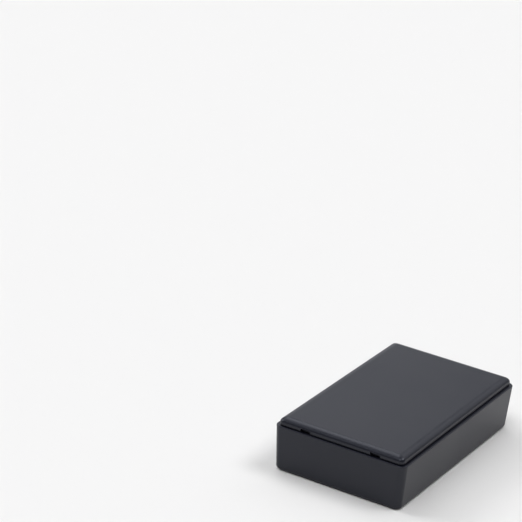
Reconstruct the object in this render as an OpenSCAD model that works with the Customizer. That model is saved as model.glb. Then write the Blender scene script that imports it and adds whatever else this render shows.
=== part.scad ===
// Small moulded plastic project box with a shallow lid that presses on and snaps into place.
// Millimetres, +Z up. The origin is the middle of the underside, X runs along the length.

/* [Box] */
// Length of the base over its rim
box_l = 100; // [90:1:140]
// Width of the base over its rim
box_w = 60; // [54:1:90]
// Height of the base, from the underside to the top of the rim
base_h = 20; // [18:0.5:40]
// Radius of the four upright corners
corner_r = 3; // [2.6:0.1:5]

/* [Base shell] */
// Thickness of the side walls
wall = 2.5; // [2.3:0.1:3]
// Thickness of the floor
floor_t = 2; // [1.5:0.1:3]
// How far each end wall leans in between the rim and the underside
end_draft = 0.7; // [0.2:0.1:1.2]
// How far each long wall leans in between the rim and the underside
side_draft = 1.1; // [0.2:0.1:1.5]
// Radius of the edge round the underside
foot_r = 1.6; // [1:0.1:2.4]
// Radius of the outer edge of the rim
rim_r = 0.4; // [0.2:0.1:0.6]
// Radius between the floor and the walls, inside
floor_r = 1; // [0.5:0.1:2]

/* [Lid] */
// Height of the lid above the seam
lid_h = 3.2; // [3:0.1:5]
// Thickness of the lid's plate
plate_t = 2; // [1.5:0.1:2.4]
// Width of the soft edge round the top of the lid, seen from above
lid_edge_w = 3.5; // [1.5:0.1:4]
// Height of the soft edge
lid_edge_h = 2; // [1:0.1:2.2]
// Radius of the lower edge of the lid
lid_foot_r = 0.4; // [0.1:0.1:0.5]
// Width of rim left showing at each end of the lid
end_ledge = 0.9; // [0.3:0.1:1.2]
// Width of rim left showing along each side of the lid
side_ledge = 1.4; // [0.3:0.1:1.4]
// Height of the open seam between the rim and the lid
seam_h = 0.2; // [0.1:0.05:0.5]

/* [Lid fit] */
// Thickness of the lip that stands down from the lid into the rim
lip_t = 0.8; // [0.7:0.1:0.9]
// Depth of the shelf in the rim that the lip stands on
shelf_d = 2.5; // [2:0.1:4]
// Clearance all round between the lip and the rim
fit_gap = 0.15; // [0.1:0.05:0.2]

/* [Snap tabs] */
// Distance between the two tabs of one end, middle to middle
tab_pitch = 32; // [24:1:36]
// Width of a tab
tab_w = 8; // [6:0.5:10]
// Thickness of a tab
tab_t = 1.2; // [1:0.1:1.6]
// How far a tab reaches down below the shelf
tab_reach = 4; // [3:0.1:6]
// How far the bead stands out of its tab
bead_h = 0.3; // [0.2:0.05:0.4]
// Radius of the bead's back
bead_r = 0.8; // [0.6:0.1:1]
// Height of the bead's middle above the tab's lower edge
bead_up = 1; // [0.9:0.1:1.5]
// Clearance between the bead and the end wall as the lid comes off
bead_gap = 0.05; // [0.03:0.01:0.1]
// Depth of the catch pocket in the end wall
pocket_d = 0.5; // [0.4:0.05:0.7]
// Clearance round the bead's width and height in its pocket
pocket_gap = 0.3; // [0.2:0.05:0.5]

/* [Pry slots] */
// Width of the slot over each tab, in the lid's lower edge
slot_w = 4.5; // [3:0.5:6]
// Height of the slot above the seam
slot_h = 1.4; // [0.8:0.1:1.6]
// Depth of the slot into the lid
slot_d = 1.3; // [0.8:0.1:1.8]

/* [Board posts] */
// Distance between the posts along the length
post_pitch_x = 80; // [60:1:80]
// Distance between the posts along the width
post_pitch_y = 40; // [30:1:42]
// Diameter of a post
post_d = 5; // [4:0.1:7]
// Height of a post above the floor
post_h = 4; // [3:0.1:8]
// Diameter of the pilot hole in a post
pilot_d = 2; // [1.6:0.1:3]
// Depth of the pilot hole
pilot_depth = 4.5; // [3:0.1:4.5]

/* [Smoothness] */
// Facets in a quarter of a rounded corner
corner_steps = 8; // [6:1:10]
// Facets in a quarter of a rounded edge
edge_steps = 8; // [4:1:10]

/* [Hidden] */
shell_black = "#34353a";
$fn = 48;
cut = 1;
least_r = 0.3;
shelf_z = base_h - shelf_d;
seam_z = base_h + seam_h;
rebate = lip_t + fit_gap;
rim_wall = wall - rebate;
cavity_r = corner_r - wall;
rebate_r = corner_r - rim_wall;
lid_r = corner_r - min(end_ledge, side_ledge);
plate_z = seam_z + lid_h - plate_t;
tab_foot_z = shelf_z - tab_reach;
bead_z = tab_foot_z + bead_up;

// Lean of a wall at a height, as a share of its full draft: none from the rim's radius upward
function lean(z) = max(0, 1 - z / (base_h - rim_r));
// Half the length of the cavity at a height
function cavity_half_l(z) = box_l / 2 - wall - end_draft * lean(z);

// One level of a shell: a rounded rectangle drawn in from the rim by dx and dy, at height z
function level(dx, dy, corner, z) =
    let (r = max(corner, least_r), hx = box_l / 2 - dx - r, hy = box_w / 2 - dy - r, step = 90 / corner_steps)
    [for (q = [0:3], i = [0:corner_steps])
        let (a = q * 90 + i * step, sx = (q == 0 || q == 3) ? 1 : -1, sy = q < 2 ? 1 : -1)
        [sx * hx + r * cos(a), sy * hy + r * sin(a), z]];

// Skins a stack of levels, lowest first, into one solid
module skin(levels) {
    n = len(levels[0]);
    top = len(levels) - 1;
    points = [for (ring = levels, p = ring) p];
    sides = [for (k = [0:top - 1], i = [0:n - 1])
        let (j = (i + 1) % n, a = k * n, b = a + n)
        each [[a + i, b + i, b + j], [a + i, b + j, a + j]]];
    under = [[for (i = [0:n - 1]) i]];
    over = [[for (i = [n - 1:-1:0]) top * n + i]];
    polyhedron(points = points, faces = concat(under, sides, over), convexity = 4);
}

// Upright rounded block between two heights, drawn in from the rim by inset
module block(inset, corner, z0, z1) {
    skin([level(inset, inset, corner, z0), level(inset, inset, corner, z1)]);
}

// Outside of the base: rounded foot, leaning walls, small radius on the rim
module base_outside() {
    foot = [for (i = [0:edge_steps])
        let (a = 90 * i / edge_steps, z = foot_r * (1 - cos(a)), in = foot_r * (1 - sin(a)))
        level(end_draft * lean(z) + in, side_draft * lean(z) + in, corner_r - in / 2, z)];
    rim = [for (i = [0:edge_steps])
        let (a = 90 * i / edge_steps, z = base_h - rim_r * (1 - sin(a)), in = rim_r * (1 - cos(a)))
        level(end_draft * lean(z) + in, side_draft * lean(z) + in, corner_r - in, z)];
    skin(concat(foot, rim));
}

// Space inside the base, open through the rim
module base_inside() {
    bottom = [for (i = [0:edge_steps])
        let (a = 90 * i / edge_steps, z = floor_t + floor_r * (1 - cos(a)), in = floor_r * (1 - sin(a)))
        level(wall + end_draft * lean(z) + in, wall + side_draft * lean(z) + in, cavity_r, z)];
    mouth = [for (z = [base_h - rim_r, base_h + cut]) level(wall, wall, cavity_r, z)];
    skin(concat(bottom, mouth));
}

// Puts its child at every board post
module at_posts() {
    for (x = [-1, 1], y = [-1, 1]) translate([x * post_pitch_x / 2, y * post_pitch_y / 2, 0]) children();
}

// Puts its child at every tab, turned so that +X points out through the nearest end wall
module at_tabs() {
    for (end = [0, 1], side = [-1, 1])
        rotate([0, 0, 180 * end]) translate([0, side * tab_pitch / 2, 0]) children();
}

// Pocket in the end wall that a tab's bead springs into
module catch_pocket() {
    h = 2 * (bead_r + pocket_gap);
    w = tab_w + 2 * pocket_gap;
    translate([cavity_half_l(bead_z) - cut, -w / 2, bead_z - h / 2]) cube([cut + pocket_d, w, h]);
}

// Tab behind a pry slot, with its bead clear of the end wall
module snap_tab() {
    face_x = cavity_half_l(bead_z) - bead_gap - bead_h;
    root_z = seam_z + lid_h - plate_t / 2;
    translate([face_x - tab_t, -tab_w / 2, tab_foot_z]) cube([tab_t, tab_w, root_z - tab_foot_z]);
    translate([face_x - tab_t / 2, -tab_w / 2, shelf_z])
        cube([box_l / 2 - wall + lip_t / 2 - face_x + tab_t / 2, tab_w, root_z - shelf_z]);
    intersection() {
        translate([face_x + bead_h - bead_r, tab_w / 2, bead_z])
            rotate([90, 0, 0]) cylinder(r = bead_r, h = tab_w);
        translate([face_x - tab_t / 2, -tab_w / 2, tab_foot_z]) cube([tab_t, tab_w, 2 * bead_up]);
    }
}

// Moulded tray: shelled base with a stepped rim, catch pockets and board posts
module base() {
    color(shell_black)
    difference() {
        union() {
            difference() {
                base_outside();
                base_inside();
                block(rim_wall, rebate_r, shelf_z, base_h + cut);
                at_tabs() catch_pocket();
            }
            at_posts() translate([0, 0, floor_t / 2]) cylinder(d = post_d, h = post_h + floor_t / 2);
        }
        at_posts() translate([0, 0, floor_t + post_h - pilot_depth])
            cylinder(d = pilot_d, h = pilot_depth + cut);
    }
}

// Outside of the lid above the seam: small radius below, soft edge above
module lid_outside() {
    edge_z = seam_z + lid_h - lid_edge_h;
    foot = [for (i = [0:edge_steps])
        let (a = 90 * i / edge_steps, z = seam_z + lid_foot_r * (1 - cos(a)), in = lid_foot_r * (1 - sin(a)))
        level(end_ledge + in, side_ledge + in, lid_r - in, z)];
    edge = [for (i = [0:edge_steps])
        let (a = 90 * i / edge_steps, z = edge_z + lid_edge_h * sin(a), in = lid_edge_w * (1 - cos(a)))
        level(end_ledge + in, side_ledge + in, lid_r - in / 2, z)];
    skin(concat(foot, edge));
}

// Moulded lid: plate with a soft edge, lip that stands on the rim's shelf, snap tabs and pry slots
module lid() {
    lip_in = rim_wall + fit_gap;
    color(shell_black)
    difference() {
        union() {
            difference() {
                union() {
                    lid_outside();
                    block(lip_in, rebate_r - fit_gap, shelf_z, plate_z);
                }
                block(wall, cavity_r, shelf_z - cut, plate_z);
            }
            at_tabs() snap_tab();
        }
        at_tabs() translate([box_l / 2 - end_ledge - slot_d, -slot_w / 2, seam_z - cut])
            cube([slot_d + cut, slot_w, slot_h + cut]);
    }
}

base();
lid();
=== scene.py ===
import math

import bmesh
import bpy
from mathutils import Matrix, Vector


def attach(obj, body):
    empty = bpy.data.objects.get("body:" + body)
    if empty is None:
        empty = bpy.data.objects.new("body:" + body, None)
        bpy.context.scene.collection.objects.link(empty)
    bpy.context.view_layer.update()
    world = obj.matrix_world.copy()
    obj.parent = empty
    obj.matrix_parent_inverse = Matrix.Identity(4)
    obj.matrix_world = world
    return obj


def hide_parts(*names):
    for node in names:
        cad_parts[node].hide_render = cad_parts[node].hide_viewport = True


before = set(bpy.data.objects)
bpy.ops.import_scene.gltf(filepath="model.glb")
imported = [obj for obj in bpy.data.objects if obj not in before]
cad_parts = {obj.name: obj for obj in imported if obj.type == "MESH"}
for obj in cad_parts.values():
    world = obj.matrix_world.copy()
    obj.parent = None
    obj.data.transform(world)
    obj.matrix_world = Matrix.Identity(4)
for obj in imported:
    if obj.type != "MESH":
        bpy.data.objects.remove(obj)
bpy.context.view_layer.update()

# Lengths are in metres and angles in degrees. Colours are linear red, green and blue.

# Image that the camera is framed for
IMAGE_PX = 522
SENSOR_MM = 36.0

# Camera, as fitted to the photo: the direction from the box to it, its roll, and its place,
# given as the distance and the steps to its own right and top
CAM_AZIMUTH = -60.538
CAM_ELEVATION = 22.424
CAM_ROLL = 4.750
CAM_DISTANCE = 0.99618
CAM_TO_RIGHT = -0.05516
CAM_TO_TOP = 0.07758
CAM_FOCAL_PX = 2384.5
CAM_NEAREST = 0.01

# Small radius that a mould leaves on every edge sharper than EDGE_ANGLE
EDGE_RADIUS = 0.00012
EDGE_STEPS = 3
EDGE_ANGLE = 40.0
# Points closer than WELD become one, and faces that bend less than FLAT_ANGLE become one
WELD = 1e-6
FLAT_ANGLE = 0.4

# Plastic: its colour, its colour where it is rubbed, and the tint and level of its gloss
BLACK_PLASTIC = (0.0058, 0.0065, 0.0122)
RUBBED_PLASTIC = (0.018, 0.019, 0.026)
RUBBED_ROUGHNESS = 0.3
GLOSS_TINT = (0.91, 0.93, 1.0)
GLOSS_LEVEL = 0.43
PLASTIC_IOR = 1.5
# Each noise has its scale in waves per metre, its detail and its roughness.
# Grain of the mould's face, and how deep it is
GRAIN = (3200.0, 3.0, 0.6)
GRAIN_DEPTH = 0.00003
GRAIN_STRENGTH = 0.5
# Flow marks: the part of the noise that is used, and the shade and roughness that it gives
FLOW = (26.0, 2.0, 0.5)
FLOW_USED = (0.3, 0.7)
FLOW_SHADE = (0.94, 1.06)
FLOW_ROUGHNESS = (0.345, 0.395)
# Wear: how far from an edge it reaches, the openness inside the plastic that tells a flat place
# from an edge, and the chips that break it up
WEAR_REACH = 0.0005
WEAR_SAMPLES = 8
WEAR_OPENNESS = (0.96, 0.55)
CHIPS = (420.0, 4.0, 0.65)
CHIPS_USED = (0.42, 0.6)
CHIPS_WEAR = (0.15, 1.0)

# Floor, and a sky that is pale near the horizon and dark above. The two heights between which it
# fades are sines of the elevation.
FLOOR_HALF = 12.0
FLOOR_COLOUR = (0.858, 0.844, 0.802)
HORIZON_COLOUR = (0.93, 0.93, 0.93)
SKY_COLOUR = (0.0, 0.0, 0.0)
HORIZON_TOP = 0.12
SKY_FOOT = 0.14

# Far lamps: name, azimuth, elevation, width in the sky, and strength
LAMP_COLOUR = (0.985, 1.0, 1.055)
FAR_LAMPS = (
    ("low_back", 30, 18, 18, 0.101),
    ("right", -10, 30, 40, 0.324),
    ("right_back", 15, 45, 30, 0.164),
    ("back", 45, 47, 25, 0.309),
    ("left_back", 100, 35, 25, 1.292),
    ("high_back", 60, 60, 30, 0.339),
    ("high_left", 180, 60, 30, 0.955),
    ("high_front", -60, 60, 30, 1.177),
)
# How far from the box a far lamp's marker stands. Its light doesn't depend on it.
FAR_LAMP_PLACE = 2.0

# Sockets of a Mix node for each kind of value: first, second and result. They share their names.
MIX_SOCKETS = {"FLOAT": (2, 3, 0), "RGBA": (6, 7, 2)}


class Nodes:
    """A node tree that starts empty, with one call per node."""

    def __init__(self, owner):
        owner.use_nodes = True
        self.tree = owner.node_tree
        self.tree.nodes.clear()

    def add(self, kind, inputs=None, **settings):
        """Adds a node. An input is a number or colour, or the socket that it is linked to."""
        node = self.tree.nodes.new(kind)
        for key, value in settings.items():
            setattr(node, key, value)
        for key, value in (inputs or {}).items():
            if isinstance(value, bpy.types.NodeSocket):
                self.tree.links.new(value, node.inputs[key])
            else:
                node.inputs[key].default_value = value
        return node

    def noise(self, place, scale, detail, roughness):
        node = self.add("ShaderNodeTexNoise", {
            "Vector": place, "Scale": scale, "Detail": detail, "Roughness": roughness})
        return node.outputs["Fac"]

    def fit(self, value, old, new=(0.0, 1.0)):
        """The value moved from one range to another, and held inside it."""
        node = self.add("ShaderNodeMapRange", {
            "Value": value, "From Min": old[0], "From Max": old[1], "To Min": new[0], "To Max": new[1]})
        return node.outputs["Result"]

    def mix(self, kind, share, first, second):
        """The first value where share is 0 and the second where it is 1."""
        a, b, result = MIX_SOCKETS[kind]
        node = self.add("ShaderNodeMix", {"Factor": share, a: first, b: second}, data_type=kind)
        return node.outputs[result]


def place_camera():
    azimuth = math.radians(CAM_AZIMUTH)
    elevation = math.radians(CAM_ELEVATION)
    back = Vector((
        math.sin(azimuth) * math.cos(elevation),
        -math.cos(azimuth) * math.cos(elevation),
        math.sin(elevation),
    ))
    level_right = Vector((math.cos(azimuth), math.sin(azimuth), 0))
    roll = Matrix.Rotation(math.radians(CAM_ROLL), 3, back)
    right = roll @ level_right
    up = back.cross(right)
    data = bpy.data.cameras.new("camera")
    data.sensor_width = SENSOR_MM
    data.lens = CAM_FOCAL_PX * SENSOR_MM / IMAGE_PX
    data.clip_start = CAM_NEAREST
    camera = bpy.data.objects.new("camera", data)
    bpy.context.scene.collection.objects.link(camera)
    turn = Matrix((right, up, back)).transposed().to_4x4()
    place = back * CAM_DISTANCE + right * CAM_TO_RIGHT + up * CAM_TO_TOP
    camera.matrix_world = Matrix.Translation(place) @ turn
    bpy.context.scene.camera = camera


def edge_wear(n, place):
    """How much a place is rubbed: most at an outer edge, in broken patches, and nothing on a flat face."""
    inside = n.add(
        "ShaderNodeAmbientOcclusion", {"Distance": WEAR_REACH},
        inside=True, only_local=True, samples=WEAR_SAMPLES)
    edge = n.fit(inside.outputs["AO"], WEAR_OPENNESS)
    broken = n.fit(n.noise(place, *CHIPS), CHIPS_USED, CHIPS_WEAR)
    return n.add("ShaderNodeMath", {0: edge, 1: broken}, operation="MULTIPLY").outputs["Value"]


def moulded_plastic(name):
    """Black plastic from a mould with a fine grain: faint flow marks, and edges rubbed a little."""
    material = bpy.data.materials.new(name)
    n = Nodes(material)
    place = n.add("ShaderNodeTexCoord").outputs["Object"]
    grain = n.noise(place, *GRAIN)
    flow = n.noise(place, *FLOW)
    wear = edge_wear(n, place)

    tint = n.fit(flow, FLOW_USED, FLOW_SHADE)
    shade = n.add("ShaderNodeVectorMath", {0: BLACK_PLASTIC, "Scale": tint}, operation="SCALE")
    colour = n.mix("RGBA", wear, shade.outputs["Vector"], (*RUBBED_PLASTIC, 1))
    matt = n.fit(flow, FLOW_USED, FLOW_ROUGHNESS)
    rough = n.mix("FLOAT", wear, matt, RUBBED_ROUGHNESS)
    bump = n.add("ShaderNodeBump", {"Height": grain, "Strength": GRAIN_STRENGTH, "Distance": GRAIN_DEPTH})
    shader = n.add("ShaderNodeBsdfPrincipled", {
        "Base Color": colour,
        "Roughness": rough,
        "IOR": PLASTIC_IOR,
        "Specular IOR Level": GLOSS_LEVEL,
        "Specular Tint": (*GLOSS_TINT, 1),
        "Normal": bump.outputs["Normal"],
    })
    n.add("ShaderNodeOutputMaterial", {"Surface": shader.outputs["BSDF"]})
    return material


def cleaned_mesh(source):
    """A copy of a CAD node's mesh, with its points joined and the faces of each flat merged."""
    mesh = source.data.copy()
    shape = bmesh.new()
    shape.from_mesh(mesh)
    bmesh.ops.remove_doubles(shape, verts=shape.verts, dist=WELD)
    bmesh.ops.dissolve_limit(
        shape, angle_limit=math.radians(FLAT_ANGLE), verts=shape.verts, edges=shape.edges)
    shape.to_mesh(mesh)
    shape.free()
    return mesh


def mould_finish(node, name, material):
    """A copy of a CAD node whose sharp edges carry the mould's small radius. It stands for
    the node and rides on the body of the same name."""
    mesh = cleaned_mesh(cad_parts[node])
    mesh.materials.clear()
    mesh.materials.append(material)
    mesh.shade_smooth()
    piece = bpy.data.objects.new(name, mesh)
    bpy.context.scene.collection.objects.link(piece)
    bevel = piece.modifiers.new("mould radius", "BEVEL")
    bevel.width = EDGE_RADIUS
    bevel.segments = EDGE_STEPS
    bevel.limit_method = "ANGLE"
    bevel.angle_limit = math.radians(EDGE_ANGLE)
    bevel.use_clamp_overlap = True
    weight = piece.modifiers.new("flat faces lead", "WEIGHTED_NORMAL")
    weight.keep_sharp = True
    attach(piece, node)
    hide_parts(node)
    return piece


def toward(azimuth, elevation):
    """Direction from the box. Azimuth is measured from +X toward +Y."""
    around, up = math.radians(azimuth), math.radians(elevation)
    return Vector((math.cos(around) * math.cos(up), math.sin(around) * math.cos(up), math.sin(up)))


def far_lamp(name, azimuth, elevation, width, strength):
    """A soft lamp so far off that it lights the whole floor alike."""
    direction = toward(azimuth, elevation)
    data = bpy.data.lights.new(name, "SUN")
    data.angle = math.radians(width)
    data.energy = strength
    data.color = LAMP_COLOUR
    lamp = bpy.data.objects.new(name, data)
    lamp.location = direction * FAR_LAMP_PLACE
    lamp.rotation_euler = direction.to_track_quat("Z", "Y").to_euler()
    lamp.visible_camera = False
    bpy.context.scene.collection.objects.link(lamp)


def lay_floor():
    corners = [(x * FLOOR_HALF, y * FLOOR_HALF, 0) for x, y in ((-1, -1), (1, -1), (1, 1), (-1, 1))]
    mesh = bpy.data.meshes.new("floor")
    mesh.from_pydata(corners, [], [(0, 1, 2, 3)])
    floor = bpy.data.objects.new("floor", mesh)
    bpy.context.scene.collection.objects.link(floor)
    material = bpy.data.materials.new("floor")
    n = Nodes(material)
    shader = n.add("ShaderNodeBsdfDiffuse", {"Color": (*FLOOR_COLOUR, 1)})
    n.add("ShaderNodeOutputMaterial", {"Surface": shader.outputs["BSDF"]})
    mesh.materials.append(material)


def light_world():
    """A pale band round the horizon, which the floor fades into, under a dark sky."""
    world = bpy.data.worlds.new("studio")
    bpy.context.scene.world = world
    n = Nodes(world)
    direction = n.add("ShaderNodeTexCoord").outputs["Generated"]
    height = n.add("ShaderNodeSeparateXYZ", {"Vector": direction}).outputs["Z"]
    above = n.fit(height, (HORIZON_TOP, SKY_FOOT))
    colour = n.mix("RGBA", above, (*HORIZON_COLOUR, 1), (*SKY_COLOUR, 1))
    light = n.add("ShaderNodeBackground", {"Color": colour})
    n.add("ShaderNodeOutputWorld", {"Surface": light.outputs["Background"]})


bpy.context.scene.view_settings.view_transform = "Standard"
place_camera()
lay_floor()
light_world()
for lamp in FAR_LAMPS:
    far_lamp(*lamp)

mould_finish("base", "base_shell", moulded_plastic("base_plastic"))
mould_finish("lid", "lid_shell", moulded_plastic("lid_plastic"))
